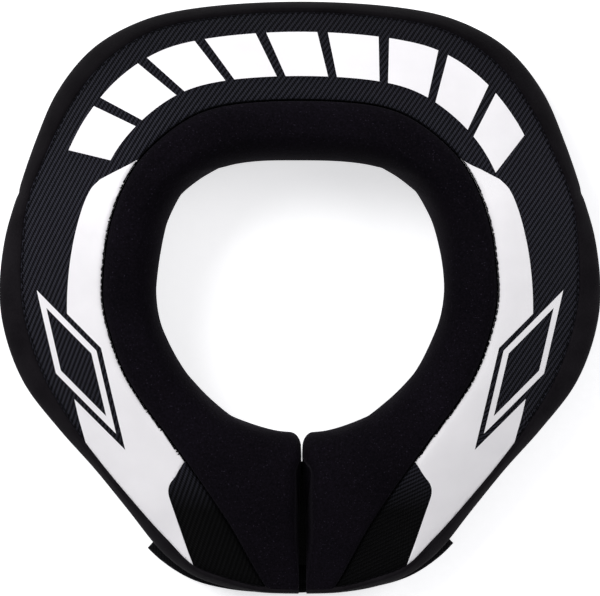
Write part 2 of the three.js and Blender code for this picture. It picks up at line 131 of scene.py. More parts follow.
# the cloth run: points round each cover's profile, and which are sewn down at its foot and seams
ROLL_POINTS, ROLL_SEWN = 44, {0, *range(33, 44)}
COVER_POINTS, COVER_SEWN = 33, {0, 1, *range(22, 33)}
CLOTH_FRAMES, CLOTH_PRESSURE = 20, 4

# how the top fabric was laid: the left side's cone, and the panel turned at the right front, from and to
# these degrees off the nape
CLOTH_MIDDLE = 0.004  # metres towards the nape
LEFT_CONE = 0.9
PANEL_FROM, PANEL_TO, PANEL_TURN, PANEL_DRAWN_IN = 118, 144, 0.5, 0.2

# the prints: how far they keep from the two seams, how high they lie, and how fine their edges are
FILM_FROM_ROLL, FILM_FROM_WALL = 0.35, 1.7
FILM_LIFT, FILM_THICKNESS = 0.1, 0.28
EDGE_STEP = 1.5
FILM_GRID, LOZENGE_GRID, FLAP_GRID = 1.6, 1.2, 2.4  # spacing of the points inside each cut piece
GRID_ROW = 0.87  # rows of an even triangle grid, as a share of the spacing
SLIVER = 0.002  # square millimetres, twice the area of a triangle too thin to keep
FLAP_EDGE_STEP, FLAP_ROUNDING, GROOVE_SIDE = 1.4, (0.35, 0.9, 1.6), 0.8  # rows along its edge

# stitches
STITCH_PITCH, STITCH_LENGTH, THREAD = 3.0, 2.3, 0.48
WALL_THREAD = 0.75
FOOT_PITCH, LINING_PITCH, LINING_STITCH = 3.4, 3.6, 2.6
ROLL_SEAM_OUT, ROLL_SEAM_RISE = 0.75, 0.5  # off the roll's seam, and raised over its turned edge
WALL_SEAM_IN, LOOSE, FOOT_SINK = 2.3, 0.1, 0.55  # off the wall's seam, and how deep the threads lie
LINING_SINK = 0.05
COVER_SEAM_START, LINING_SEAM_START, FOOT_SEAM_START = 0.06, 0.01, 0.012  # places beside the slit

# hook tape: a woven backing with notched corners, and hooks in rows inside its edge
BACKING, TAPE_CORNER, TAPE_EDGE, HOOK_PITCH = 0.7, 1.2, 2, 1.8

RAY_ABOVE, RAY_BELOW = 0.1, -0.05  # metres, heights from which rays look for a surface

# the plan's own middle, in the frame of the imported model
PLACE = Vector((0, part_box("back_wall")[1][1] / MM - DEPTH / 2, 0))


def lerp(a, b, t):
    return a + (b - a) * t


def clamp(x, low=0.0, high=1.0):
    return max(low, min(high, x))


def smoothstep(x, low, high):
    t = clamp((x - low) / (high - low))
    return t * t * (3 - 2 * t)


def hump(t):
    """A smooth rise to 1 at 0, gone by 3 on either side."""
    return math.exp(-(t ** 2))


def steps(count):
    """Even steps from 0 to 1."""
    return [i / count for i in range(count + 1)]


def curve_point(points, t, centripetal):
    """A point of the smooth curve through all the points, t from 0 to 1."""
    spans = len(points) - 1
    i = min(int(spans * t), spans - 1)
    w = spans * t - i
    p1, p2 = points[i], points[i + 1]
    p0 = points[i - 1] if i else 2 * p1 - p2
    p3 = points[i + 2] if i + 2 <= spans else 2 * p2 - p1
    if centripetal:
        d0, d1, d2 = ((b - a).length ** 0.5 for a, b in ((p0, p1), (p1, p2), (p2, p3)))
        m1 = ((p1 - p0) / d0 - (p2 - p0) / (d0 + d1) + (p2 - p1) / d1) * d1
        m2 = ((p2 - p1) / d1 - (p3 - p1) / (d1 + d2) + (p3 - p2) / d2) * d1
    else:
        m1, m2 = (p2 - p0) * 0.5, (p3 - p1) * 0.5
    return p1 + m1 * w + (3 * (p2 - p1) - 2 * m1 - m2) * w ** 2 + (2 * (p1 - p2) + m1 + m2) * w ** 3


def ring_points(of_row):
    """A point of each section, right side first: slit, nape and back to the slit."""
    right = [of_row(row, 1, i == 0) for i, row in enumerate(SECTIONS)]
    left = [of_row(row, -1, i == 0) for i, row in enumerate(SECTIONS[:-1])]
    return right + left[::-1]


def across(share, side, at_slit):
    return side * (SLIT / 2 if at_slit else share * WIDTH / 2)


def opening_point(row, side, at_slit):
    return Vector((across(row[0], side, at_slit), row[1] * DEPTH / 2, row[6] * COLLAR_HEIGHT))


def outline_point(row, side, at_slit):
    return Vector((across(row[2], side, at_slit), row[3] * DEPTH / 2, row[7] * SEAM_HEIGHT))


def share_point(row, side, at_slit):
    return Vector((row[4], row[5], row[8]))


OPENING, OUTLINE, SHARES = ring_points(opening_point), ring_points(outline_point), ring_points(share_point)


def section_at(v):
    """The section at place v of the ring: 0 at the slit, 1 at the nape, 2 back at the slit."""
    opening = curve_point(OPENING, v / 2, True)
    outline = curve_point(OUTLINE, v / 2, True)
    share = curve_point(SHARES, v / 2, False)
    inner, outer = opening.to_2d(), outline.to_2d()
    length = (outer - inner).length
    seat = smoothstep(-2 * outer.y / DEPTH, SEAT_START, SEAT_END) * FLAP_SEAT
    middle = (inner + outer) / 2
    from_slit = abs(middle.x) - SLIT / 2 if middle.y < 0 else END_ROUNDING
    reach = clamp(END_ROUNDING - from_slit, 0, END_ROUNDING)
    return SimpleNamespace(
        v=v, inner=inner, outward=(outer - inner) / length, length=length,
        seam=min(share.x, share.y) * length, edge=share.y * length,
        crest=opening.z, wall_top=outline.z, underside=max(0, share.z * SHOULDER_ARCH, seat),
        rounding=END_ROUNDING - math.sqrt(END_ROUNDING ** 2 - reach ** 2),
    )


def in_frame(section, s, z):
    """A point s out from the opening and z up, in metres in the frame of the model."""
    p = section.inner + section.outward * s
    if p.y < 0:
        side = 1 if section.v < 1 else -1
        lean = smoothstep(s, SPREAD_START, SPREAD_FULL)
        lean *= 1 - SPREAD_LOST * smoothstep(s, SPREAD_EASES, section.length)
        spread = side * END_SPREAD[side] * lean * hump(p.x / SPREAD_REACH)
        p.x += SLIT_SHIFT * hump(p.x / SHIFT_REACH) + spread
    return (Vector((p.x, p.y, z)) + PLACE) * MM


def floor_of(section):
    return section.underside + LINING_THICKNESS + GAP


def top_height(section, s):
    """The slope from the crest of the roll down to the top of the wall."""
    t = (s - CREST_INSET) / (section.edge - CREST_INSET)
    k = CREST_ROUNDING
    drop = section.crest - section.wall_top
    return section.crest - drop * (math.hypot(t, k) - k) / (math.hypot(1, k) - k)


def quarter(a, b, count):
    """Quarter of an ellipse between two points, flat at the first and upright at the second."""
    turns = [t * math.pi / 2 for t in steps(count)]
    return [(a[0] + (b[0] - a[0]) * math.sin(t), b[1] + (a[1] - b[1]) * math.cos(t)) for t in turns]


def lowered(section, p):
    """The padded edge at the slit: heights come down by its rounding."""
    floor = floor_of(section)
    return p[0], floor + (p[1] - floor) * (1 - section.rounding / (section.crest - floor))


def wall_face(section, depth, upper_steps, lower_steps):
    """The outer wall's face from the seam at its top down to its foot, drawn in by depth."""
    floor = floor_of(section)
    bulge = floor + WALL_BULGE * (section.wall_top - floor)
    half_s = (section.length - section.edge) / (1 - math.cos(WALL_TURN))
    half_z = (section.wall_top - bulge) / math.sin(WALL_TURN)
    face = []
    for t in steps(upper_steps):
        turn = WALL_TURN * (1 - t)
        run, rise = math.cos(turn), math.sin(turn)
        norm = math.hypot(run * half_z, rise * half_s)
        face.append((section.length - half_s * (1 - run) - depth * run * half_z / norm,
                     bulge + half_z * rise - depth * rise * half_s / norm))
    for t in steps(lower_steps)[1:]:
        turn = t * math.pi / 2
        face.append((section.length - WALL_FOOT * (1 - math.cos(turn)) - depth,
                     bulge - (bulge - floor) * math.sin(turn)))
    return face


def lip(distance, width, drop):
    """How far a padded cover has turned down at a distance from its seam."""
    t = clamp(1 - distance / width)
    return drop * (1 - math.sqrt(1 - t * t))


def lip_stations(start, end, at_start, at_end, between):
    """Places across a cover, closer together where it turns down at its seams."""
    fine = [1 - math.cos(t * math.pi / 2) for t in steps(LIP_STEPS)]
    head = [start + at_start * f for f in fine[:-1]] if at_start else []
    tail = [end - at_end * f for f in fine[:-1]][::-1] if at_end else []
    return head + [lerp(start + at_start, end - at_end, t) for t in steps(between)] + tail


def roll_profile(section):
    """The roll: up from its foot inside the opening, over the crest, down the slope and behind the wall."""
    floor = floor_of(section)
    bulge = (0, floor + ROLL_BULGE * (section.crest - floor))
    outer = min(section.seam - GAP / 2, section.edge - GAP)
    turn_down = min(ROLL_LIP, (outer - CREST_INSET) / 3)
    lower = quarter((ROLL_FOOT, floor), bulge, 7)
    upper = quarter((CREST_INSET, section.crest), bulge, 11)[::-1]
    slope = []
    for s in lip_stations(CREST_INSET, outer, 0, turn_down, 11)[1:]:
        t = (s - CREST_INSET) / (outer - CREST_INSET)
        full = ROLL_SWELL * math.sin(math.pi * t) + ROLL_PROUD * smoothstep(t, 0, 0.9)
        slope.append((s, top_height(section, s) + full - lip(outer - s, turn_down, ROLL_TUCK)))
    beside = clamp((COVER_TIP - min(section.v, 2 - section.v)) / COVER_BLEND)
    back = [(lerp(min(s, outer), s, beside), min(z, slope[-1][1] - GAP))
            for s, z in wall_face(section, WALL_THICKNESS + GAP, 5, 4)]
    front = [(s + section.rounding * max(0, 1 - s / section.edge), z) for s, z in lower + upper[1:] + slope]
    return [lowered(section, p) for p in front + back]


def cover_profile(section):
    """The top cover: up at the roll's seam, across in a low crown and down behind the wall."""
    start, end = section.seam + GAP / 2, section.edge - GAP
    turn_down = min(COVER_LIP, (end - start) / 3)
    top = []
    for s in lip_stations(start, end, turn_down, turn_down, 14):
        crown = math.sin(math.pi * (s - start) / (end - start)) ** COVER_CROWN if start < s < end else 0
        full = COVER_SWELL * crown * clamp((end - start) / COVER_FULL_WIDTH)
        turned = lip(s - start, turn_down, COVER_TUCK) + lip(end - s, turn_down, COVER_TUCK)
        top.append((s, top_height(section, s) + full - turned))
    behind = wall_face(section, WALL_THICKNESS + GAP, 5, 3)
    inside = [(s, min(z, top[-1][1] - COVER_BACK_STEP * i)) for i, (s, z) in enumerate(behind)]
    return [(start, floor_of(section))] + top + inside


def foot_groove(section, z):
    """The wall is drawn in where it is stitched to the lining, a little above its foot."""
    return FOOT_GROOVE * hump(z - floor_of(section) - FOOT_SEAM)


def wall_profile(section):
    """The wall's skin: down outside, back up inside, and round over its top edge."""
    outside = wall_face(section, 0, *WALL_STEPS)
    inside = wall_face(section, WALL_THICKNESS, *WALL_STEPS)[::-1]
    raised = [(s, z + WALL_PROUD * (1 - i / PROUD_ROWS) ** 2 if i < PROUD_ROWS else z)
              for i, (s, z) in enumerate(outside)]
    (s0, z0), (s1, z1) = inside[-1], raised[0]
    middle = Vector(((s0 + s1) / 2, (z0 + z1) / 2))
    half = Vector(((s1 - s0) / 2, (z1 - z0) / 2))
    proud = Vector((half.y, -half.x)) if half.y > 0 else Vector((-half.y, half.x))
    if proud.x > 0:
        proud = -proud
    edge = [middle - half * math.cos(t * math.pi) + proud * math.sin(t * math.pi) for t in steps(4)[1:-1]]
    from_seam = min(abs(section.v - WALL_SEAM), abs(2 - WALL_SEAM - section.v))
    pinch = SEAM_PINCH * hump(from_seam / PINCH_REACH)
    loop = [(s - foot_groove(section, z), z) for s, z in raised] + inside + [tuple(p) for p in edge]
    return [lowered(section, (s - pinch, z)) for s, z in loop]


def lining_profile(section):
    """The underside: a flat laminate with round edges and a stitched groove near each."""
    low, high = section.underside, section.underside + LINING_THICKNESS
    inside, outside = ROLL_FOOT, section.length - WALL_FOOT
    r = LINING_THICKNESS / 2
    under = lip_stations(inside + r, outside - r, 6, 6, 9)

    def groove(s):
        near = min(s - inside, outside - s)
        return LINING_GROOVE * hump((near - LINING_SEAM) / LINING_GROOVE_WIDTH)

    turns = [t * math.pi for t in steps(6)]
    round_out = [(outside - r + r * math.sin(turn), low + r - r * math.cos(turn)) for turn in turns]
    round_in = [(inside + r - r * math.sin(turn), low + r + r * math.cos(turn)) for turn in turns]
    bottom = [(s, low + groove(s)) for s in under]
    top = [(s, high) for s in (lerp(outside - r, inside + r, t) for t in steps(6))]
    return bottom + round_out[1:-1] + top + round_in[1:-1]


# rows of the covers round the ring, closer together beside the slit
ENDS = [0, 0.0012, 0.0027, 0.0046, 0.007, 0.0098, 0.013, 0.0168, 0.021, 0.0258, 0.031, 0.0365, 0.042,
        0.048, 0.054, 0.06, 0.065]
RING_STEPS = 156
RING = ENDS + [lerp(PANEL_TIP, 2 - PANEL_TIP, t) for t in steps(RING_STEPS)] + [2 - v for v in ENDS[::-1]]


def places_between(first, last, extra=()):
    """The rows from the first place to the last, both included."""
    near = [v for v in RING if first + 1e-4 < v < last - 1e-4]
    return sorted({first, last, *near, *extra})


def weave_place(point):
    """Where a point of the top fabric lay on the flat cloth, in decimetres. The left is cut as on a low
    cone laid out flat, the right keeps its grain, and the right front is a panel turned and drawn in."""
    x, y = point.x * 10, (point.y - CLOTH_MIDDLE) * 10
    around, reach = math.atan2(-x, y), math.hypot(x, y)
    if around > 0:
        around *= LEFT_CONE
    else:
        panel = smoothstep(-math.degrees(around), PANEL_FROM, PANEL_TO)
        around += panel * PANEL_TURN
        reach *= 1 + PANEL_DRAWN_IN * panel
    return -reach * math.sin(around), reach * math.cos(around)


def new_piece(name, build):
    """An object whose mesh build fills in, with a flat-cloth map for fabrics that follow the surface."""
    mesh = bpy.data.meshes.new(name)
    bm = bmesh.new()
    build(bm)
    bmesh.ops.recalc_face_normals(bm, faces=bm.faces)
    laid = bm.loops.layers.uv.new("cloth")
    for face in bm.faces:
        face.smooth = True
        for loop in face.loops:
            loop[laid].uv = weave_place(loop.vert.co)
    bm.to_mesh(mesh)
    bm.free()
    piece = bpy.data.objects.new(name, mesh)
    scene.collection.objects.link(piece)
    return piece


def loft(name, places, profile, cap="rings"):
    """A closed cover through the sections at the places, ended by shrinking rings or by a strip."""
    def build(bm):
        rows = []
        for v in places:
            section = section_at(v)
            rows.append([bm.verts.new(in_frame(section, s, z)) for s, z in profile(section)])
        around = len(rows[0])
        for a, b in zip(rows, rows[1:]):
            for j in range(around):
                k = (j + 1) % around
                bm.faces.new((a[j], a[k], b[k], b[j]))
        for row in (rows[0], rows[-1]):
            if cap == "strip":
                for j in range(around // 2 - 1):
                    bm.faces.new((row[j], row[j + 1], row[around - 2 - j], row[around - 1 - j]))
                if around % 2:
                    bm.faces.new(row[around // 2 - 1:around // 2 + 2])
                continue
            middle = sum((p.co for p in row), Vector()) / around
            ring = row
            for share in CAP_RINGS:
                smaller = [bm.verts.new(middle.lerp(p.co, share)) for p in row]
                for j in range(around):
                    k = (j + 1) % around
                    bm.faces.new((ring[j], ring[k], smaller[k], smaller[j]))
                ring = smaller
            hub = bm.verts.new(middle)
            for j in range(around):
                bm.faces.new((ring[j], ring[(j + 1) % around], hub))
    return new_piece(name, build)


def select_only(piece):
    bpy.ops.object.select_all(action="DESELECT")
    piece.select_set(True)
    bpy.context.view_layer.objects.active = piece


def apply_modifier(piece, kind, **settings):
    modifier = piece.modifiers.new(kind.title(), kind)
    for key, value in settings.items():
        setattr(modifier, key, value)
    select_only(piece)
    bpy.ops.object.modifier_apply(modifier=modifier.name)


def soften(piece):
    apply_modifier(piece, "SUBSURF", levels=1, render_levels=1)


def undulate(piece, around, held_columns, size, height):
    """Foam is never quite even: slow rises and hollows along the surface, gone at the sewn edges."""
    near = [min(abs(j - held) for held in held_columns) for j in range(around)]
    normals = [v.normal.copy() for v in piece.data.vertices]
    for i, (v, normal) in enumerate(zip(piece.data.vertices, normals)):
        v.co += normal * height * smoothstep(near[i % around], 0, 5) * noise.noise(v.co / size)


def fill_cover(piece, around, held_columns, most):
    """The foam fills its cover: a short cloth run under pressure, with the sewn edges held and each
    point's way out easing off towards the most that the cover gives, in millimetres."""
    start = [v.co.copy() for v in piece.data.vertices]
    sewn = piece.vertex_groups.new(name="sewn")
    last_row = len(start) - 2 * (len(CAP_RINGS) * around + 1) - around
    held = [i for i in range(len(start)) if i % around in held_columns or i < around or i >= last_row]
    sewn.add(held, 1.0, "REPLACE")
    modifier = piece.modifiers.new("Cloth", "CLOTH")
    cloth = modifier.settings
    cloth.quality, cloth.mass = 6, 0.3
    cloth.use_pressure, cloth.uniform_pressure_force = True, CLOTH_PRESSURE
    cloth.vertex_group_mass = "sewn"
    cloth.effector_weights.gravity = 0
    modifier.point_cache.frame_start, modifier.point_cache.frame_end = 1, CLOTH_FRAMES
    for number in range(1, CLOTH_FRAMES + 1):
        scene.frame_set(number)
    filled = piece.evaluated_get(bpy.context.evaluated_depsgraph_get()).to_mesh()
    ends = [v.co.copy() for v in filled.vertices]
    piece.modifiers.remove(modifier)
    scene.frame_set(1)
    for v, a, b in zip(piece.data.vertices, start, ends):
        way = b - a
        v.co = a + way * (most * MM / (most * MM + way.length))


neck_roll = loft("neck_roll", places_between(0, 2), roll_profile)
fill_cover(neck_roll, ROLL_POINTS, ROLL_SEWN, 1.6)
undulate(neck_roll, ROLL_POINTS, ROLL_SEWN, 0.03, 0.0006)
soften(neck_roll)

top_cover = loft("top_cover", places_between(COVER_TIP, 2 - COVER_TIP), cover_profile)
fill_cover(top_cover, COVER_POINTS, COVER_SEWN, 1.2)
undulate(top_cover, COVER_POINTS, COVER_SEWN, 0.035, 0.0006)
soften(top_cover)

near_seam = [WALL_SEAM + side * row for side in (-1, 1) for row in SEAM_ROWS]
near_seams = near_seam + [2 - v for v in near_seam]


def wall(name, first, last):
    extra = [v for v in near_seams if first < v < last]
    piece = loft(name, places_between(first, last, extra), wall_profile, cap="strip")
    soften(piece)
    return piece


side_right = wall("neoprene_side_right", 0, WALL_SEAM + SEAM_LAP)
back = wall("neoprene_back", WALL_SEAM - SEAM_LAP, 2 - WALL_SEAM + SEAM_LAP)
side_left = wall("neoprene_side_left", 2 - WALL_SEAM - SEAM_LAP, 2)
lining = loft("underside_lining", places_between(0, 2), lining_profile)
soften(lining)


# Flat cut pieces: each is a plan outline, meshed finely inside, so that it can follow what it lies on
def inside_loop(point, loop):
    """Whether a plan point lies inside a loop: a line from it crosses the loop an odd number of times."""
    x, y = point
    odd = False
    for (ax, ay), (bx, by) in zip(loop, loop[1:] + loop[:1]):
        if (ay > y) != (by > y) and x < ax + (y - ay) * (bx - ax) / (by - ay):
            odd = not odd
    return odd


def dense(loop, spacing):
    """The loop with points at even steps along each side."""
    out = []
    for a, b in zip(loop, loop[1:] + loop[:1]):
        a, b = Vector(a), Vector(b)
        count = max(1, round((b - a).length / spacing))
        out += [tuple(a.lerp(b, i / count)) for i in range(count)]
    return out


def cut_cloth(keep, drop, spacing, extra=()):
    """Points and triangles of the plan inside every loop of keep and outside every loop of drop."""
    points, edges = [], []
    for loop in [*keep, *drop]:
        start = len(points)
        points += [Vector(p) for p in loop]
        edges += [(start + i, start + (i + 1) % len(loop)) for i in range(len(loop))]
    xs, ys = [p[0] for p in keep[0]], [p[1] for p in keep[0]]
    row, y = 0, min(ys)
    while y < max(ys):
        x = min(xs) + (row % 2) * spacing / 2
        while x < max(xs):
            if inside_loop((x, y), keep[0]):
                points.append(Vector((x, y)))
            x += spacing
        y += spacing * GRID_ROW
        row += 1
    points += [Vector(p) for p in extra]
    verts, _, faces, *_ = delaunay_2d_cdt(points, edges, [], 0, 1e-5)
    kept = []
    for face in faces:
        c = sum((verts[i] for i in face), Vector((0, 0))) / len(face)
        a, b = verts[face[1]] - verts[face[0]], verts[face[2]] - verts[face[0]]
        if abs(a.x * b.y - a.y * b.x) < SLIVER:
            continue
        if all(inside_loop(c, loop) for loop in keep) and not any(inside_loop(c, loop) for loop in drop):
            kept.append(face)
    used = sorted({i for face in kept for i in face})
    number = {i: n for n, i in enumerate(used)}
    return [verts[i] for i in used], [[number[i] for i in face] for face in kept]


def spline(points, count):
    """Points of the smooth curve through the points."""
    return [tuple(curve_point([Vector(p) for p in points], t, False)) for t in steps(count)]


def bezier(points, count):
    a, b, c = (Vector(p) for p in points)
    return [tuple(a * (1 - t) ** 2 + b * 2 * t * (1 - t) + c * t * t) for t in steps(count)]


def in_plan(side, points):
    """Points given in shares, in millimetres on one side of the brace."""
    return [(side * x * WIDTH / 2, y * DEPTH / 2) for x, y in points]


def on_top(v, share, offset=0.0):
    """A plan point of the top fabric, at a share of the way from the roll's seam to the wall's, moved
    out by the offset."""
    section = section_at(v)
    p = section.inner + section.outward * (section.seam + offset + (section.edge - section.seam) * share)
    return tuple(p)


def band_loop(first, last):
    """The strip of top fabric that a film may cover, from the roll's seam to short of the wall."""
    places = [lerp(first, last, t) for t in steps(220)]
    inner = [on_top(v, 0, FILM_FROM_ROLL) for v in places]
    outer = [on_top(v, 1, -FILM_FROM_WALL) for v in places]
    return inner + outer[::-1]


cover_tree = BVHTree.FromObject(top_cover, bpy.context.evaluated_depsgraph_get())


def film(name, keep, drop=(), spacing=FILM_GRID):
    """White film laid over the top fabric, so that it follows the padding."""
    points, faces = cut_cloth(keep, drop, spacing)

    def build(bm):
        over, under = [], []
        for p in points:
            at = (Vector((p.x, p.y, 0)) + PLACE) * MM
            hit, *_ = cover_tree.ray_cast(Vector((at.x, at.y, RAY_ABOVE)), Vector((0, 0, -1)))
            if hit is None:
                near, *_ = cover_tree.find_nearest(Vector((at.x, at.y, RAY_ABOVE / 2)))
                hit = Vector((at.x, at.y, near.z))
            over.append(bm.verts.new(hit + Vector((0, 0, FILM_LIFT + FILM_THICKNESS)) * MM))
            under.append(bm.verts.new(hit + Vector((0, 0, FILM_LIFT)) * MM))
        close_sheets(bm, over, under, faces)
    piece = new_piece(name, build)
    select_only(piece)
    bpy.ops.object.shade_smooth_by_angle(angle=math.radians(50))
    return piece


def close_sheets(bm, over, under, faces):
    """Two sheets of the same triangles, joined along their edges."""
    count = {}
    for face in faces:
        bm.faces.new([over[i] for i in face])
        bm.faces.new([under[i] for i in reversed(face)])
        for a, b in zip(face, face[1:] + face[:1]):
            count[(a, b)] = count.get((a, b), 0) + 1
    for a, b in count:
        if (b, a) not in count:
            rim = [over[b], over[a], under[a], under[b]]
            rim = [p for i, p in enumerate(rim) if p not in rim[:i]]
            bm.faces.new(rim)


def stripe_loop(side):
    """The swept stripe's outline, wider than the strip of fabric that it is cut to."""
    notch = bezier(in_plan(side, STRIPE_NOTCH), 8)
    edge = spline(in_plan(side, STRIPE_EDGE), 60)
    tip, point, root = (in_plan(side, part) for part in (STRIPE_TIP, STRIPE_POINT, STRIPE_ROOT))
    return tip + edge + point + notch + root


def lozenge_loop(side, grow):
    """A slanted lozenge, its edges moved out by grow."""
    x, y = in_plan(side, [LOZENGE_PLACE])[0]
    along = Vector((side * math.cos(LOZENGE_TILT), math.sin(LOZENGE_TILT)))
    aside = Vector((-along.y, along.x))
    diagonal = math.hypot(LOZENGE_LENGTH, LOZENGE_WIDTH)
    along *= LOZENGE_LENGTH / 2 + grow * diagonal / LOZENGE_WIDTH
    aside *= LOZENGE_WIDTH / 2 + grow * diagonal / LOZENGE_LENGTH
    middle = Vector((x, y))
    return dense([tuple(middle + d) for d in (along, aside, -along, -aside)], EDGE_STEP)


BAND = {1: band_loop(PANEL_TIP, 1.0), -1: band_loop(1.0, 2 - PANEL_TIP)}
films = {}
for word, side in (("right", 1), ("left", -1)):
    films[f"side_stripe_{word}"] = film(f"film_stripe_{word}", [stripe_loop(side), BAND[side]],
                                        [lozenge_loop(side, LOZENGE_KEYLINE)])
    films[f"side_lozenge_{word}"] = film(f"film_lozenge_{word}", [lozenge_loop(side, 0), BAND[side]],
                                         [lozenge_loop(side, -LOZENGE_BORDER)], LOZENGE_GRID)


def block_loops():
    """Slanted blocks in a row round the nape, evenly spaced along the middle of the top fabric."""
    places = [lerp(BLOCK_START, 2 - BLOCK_START, t) for t in steps(120)]
    arc = [Vector(on_top(v, (BLOCK_LOW + BLOCK_HIGH) / 2)) for v in places]
    reach = [0]
    for a, b in zip(arc, arc[1:]):
        reach.append(reach[-1] + (b - a).length)

    def place_at(distance):
        i = next((n for n in range(len(reach) - 1) if reach[n + 1] >= distance), len(reach) - 2)
        return lerp(places[i], places[i + 1], (distance - reach[i]) / (reach[i + 1] - reach[i]))

    pitch = (reach[-1] - BLOCK_SLANT) / BLOCK_COUNT
    loops = []
    for n in range(BLOCK_COUNT):
        start, end = n * pitch + BLOCK_GAP / 2, (n + 1) * pitch - BLOCK_GAP / 2
        low = [on_top(place_at(lerp(start, end, t)), BLOCK_LOW) for t in steps(10)]
        high = [on_top(place_at(lerp(end, start, t) + BLOCK_SLANT), BLOCK_HIGH) for t in steps(10)]
        loops.append(dense(low + high, EDGE_STEP))
    return loops


for n, loop in enumerate(block_loops(), 1):
    films[f"back_block_{n}"] = film(f"film_block_{n}", [loop])


# The closure: a bound flap of foam laminate under both ends, with a strip of hook tape on it
def flap_loop():
    """The flap's plan. Its outer edge follows the wall and stands out past it towards the corners."""
    def edge(at_slit, at_corner):
        out = []
        for t in steps(40):
            section = section_at(lerp(at_slit, at_corner, t))
            out.append(section.inner + section.outward * (section.length + lerp(GAP, FLAP_OVERHANG, t * t)))
        return out
    corners = [Vector((FLAP_INNER_LENGTH / 2, FLAP_WIDTH - DEPTH / 2)),
               Vector((-FLAP_INNER_LENGTH / 2, FLAP_WIDTH - DEPTH / 2))]
    loop = edge(2, 2 - FLAP_CORNER)[::-1] + edge(0, FLAP_CORNER) + corners
    turn = Matrix.Rotation(FLAP_TURN, 2)
    return [tuple(turn @ p - Vector((FLAP_SHIFT, 0))) for p in loop]


def edge_distance(point, loop):
    """How far a plan point lies from the nearest side of a loop."""
    best = 1e9
    for a, b in zip(loop, loop[1:] + loop[:1]):
        ab = b - a
        t = clamp((point - a).dot(ab) / max(ab.length_squared, 1e-9))
        best = min(best, (point - a - ab * t).length)
    return best


def flap_sheet(name, loop, thickness, spacing, groove):
    """A flat laminate with rounded edges, resting on the ground, and a stitched groove along its edge."""
    outline = [Vector(p) for p in loop]
    fine = dense(loop, FLAP_EDGE_STEP)
    rings = []
    count = len(fine)
    area = sum(a[0] * b[1] - b[0] * a[1] for a, b in zip(fine, fine[1:] + fine[:1]))
    inward = 1 if area > 0 else -1
    for inset in (*FLAP_ROUNDING, groove - GROOVE_SIDE, groove, groove + GROOVE_SIDE):
        for i in range(count):
            a, b = Vector(fine[i - 1]), Vector(fine[(i + 1) % count])
            along = (b - a).normalized()
            p = Vector(fine[i]) + Vector((-along.y, along.x)) * inward * inset
            if edge_distance(p, outline) > inset * 0.97:
                rings.append(p)
    points, faces = cut_cloth([fine], (), spacing, rings)

    def build(bm):
        over, under = [], []
        r = thickness / 2
        for p in points:
            d = edge_distance(p, outline)
            rise = min(r - 0.2, r * (1 - math.sqrt(1 - clamp(1 - d / r) ** 2)))
            dent = FLAP_GROOVE * hump((d - groove) / FLAP_GROOVE_WIDTH)
            at = Vector((p.x, p.y, 0)) + PLACE
            over.append(bm.verts.new((at + Vector((0, 0, thickness - rise - dent))) * MM))
            under.append(bm.verts.new((at + Vector((0, 0, rise + dent))) * MM))
        close_sheets(bm, over, under, faces)
    return new_piece(name, build)


front_flap = flap_sheet("front_flap", flap_loop(), FLAP_THICKNESS, FLAP_GRID, FLAP_SEAM)


# Stitches, one modelled and copied along each seam
def take_shape(model):
    """The points and faces of a small modelled thing, to be copied into a piece."""
    shape = [v.co.copy() for v in model.data.vertices], [list(p.vertices) for p in model.data.polygons]
    bpy.data.objects.remove(model)
    return shape


def copy_shape(bm, shape, place):
    points, faces = shape
    verts = [bm.verts.new(place(p)) for p in points]
    for face in faces:
        bm.faces.new([verts[i] for i in face])


def model_stitch():
    """A six-sided length of thread, one long and one thick, cut in three so that it can arch."""
    bpy.ops.object.select_all(action="DESELECT")
    bpy.ops.mesh.primitive_cylinder_add(vertices=6, radius=0.5, depth=1, end_fill_type="NGON")
    stitch = bpy.context.object
    bpy.ops.object.mode_set(mode="EDIT")
    for cut in (0.28, -0.28):
        bpy.ops.mesh.select_all(action="SELECT")
        bpy.ops.mesh.bisect(plane_co=(0, 0, cut), plane_no=(0, 0, 1))
    bpy.ops.object.mode_set(mode="OBJECT")
    return take_shape(stitch)


STITCH = model_stitch()


def stitch_row(name, marks, length=STITCH_LENGTH, thread=THREAD):
    """marks are (place, along, up) for each stitch, which arches in the middle and goes in at its ends."""
    def build(bm):
        for place, along, up in marks:
            side = up.cross(along).normalized()
            rise = along.cross(side).normalized()

            def arched(p):
                t = p.z * 2
                arch = 0.5 * thread * (1 - 1.6 * t * t)
                width = thread * (1 - 0.35 * t * t)
                q = along * (p.z * length) + side * (p.x * width) + rise * (p.y * width + arch)
                return place + q * MM

            copy_shape(bm, STITCH, arched)
    return new_piece(name, build)


def surface_marks(line, tree, pitch, sink, from_above=True, covered=()):
    """Stitch places at even pitch along a line of plan points, on the surface that the line runs over."""
    marks, carried = [], pitch / 2
    for a, b in zip(line, line[1:]):
        span = (b - a).length
        while carried < span:
            p = a.lerp(b, carried / span)
            carried += pitch
            if any(inside_loop(p, loop) for loop in covered):
                continue
            along = ((b - a) / span).to_3d()
            at = (Vector((p.x, p.y, 0)) + PLACE) * MM
            start, way = (RAY_ABOVE, -1) if from_above else (RAY_BELOW, 1)
            hit, normal, *_ = tree.ray_cast(Vector((at.x, at.y, start)), Vector((0, 0, way)))
            if hit is not None:
                if normal.z * way > 0:
                    normal = -normal
                along = (along - normal * along.dot(normal)).normalized()
                marks.append((hit - normal * sink * MM, along, normal))
        carried -= span
    return marks


def round_ring(start, count):
    """Even places from beside the slit round to as near its other side."""
    return [lerp(start, 2 - start, t) for t in steps(count)]


def seam_line(share, offset):
    """A line along the top fabric, from beside one front end round to the other."""
    return [Vector(on_top(v, share, offset)) for v in round_ring(COVER_SEAM_START, 400)]


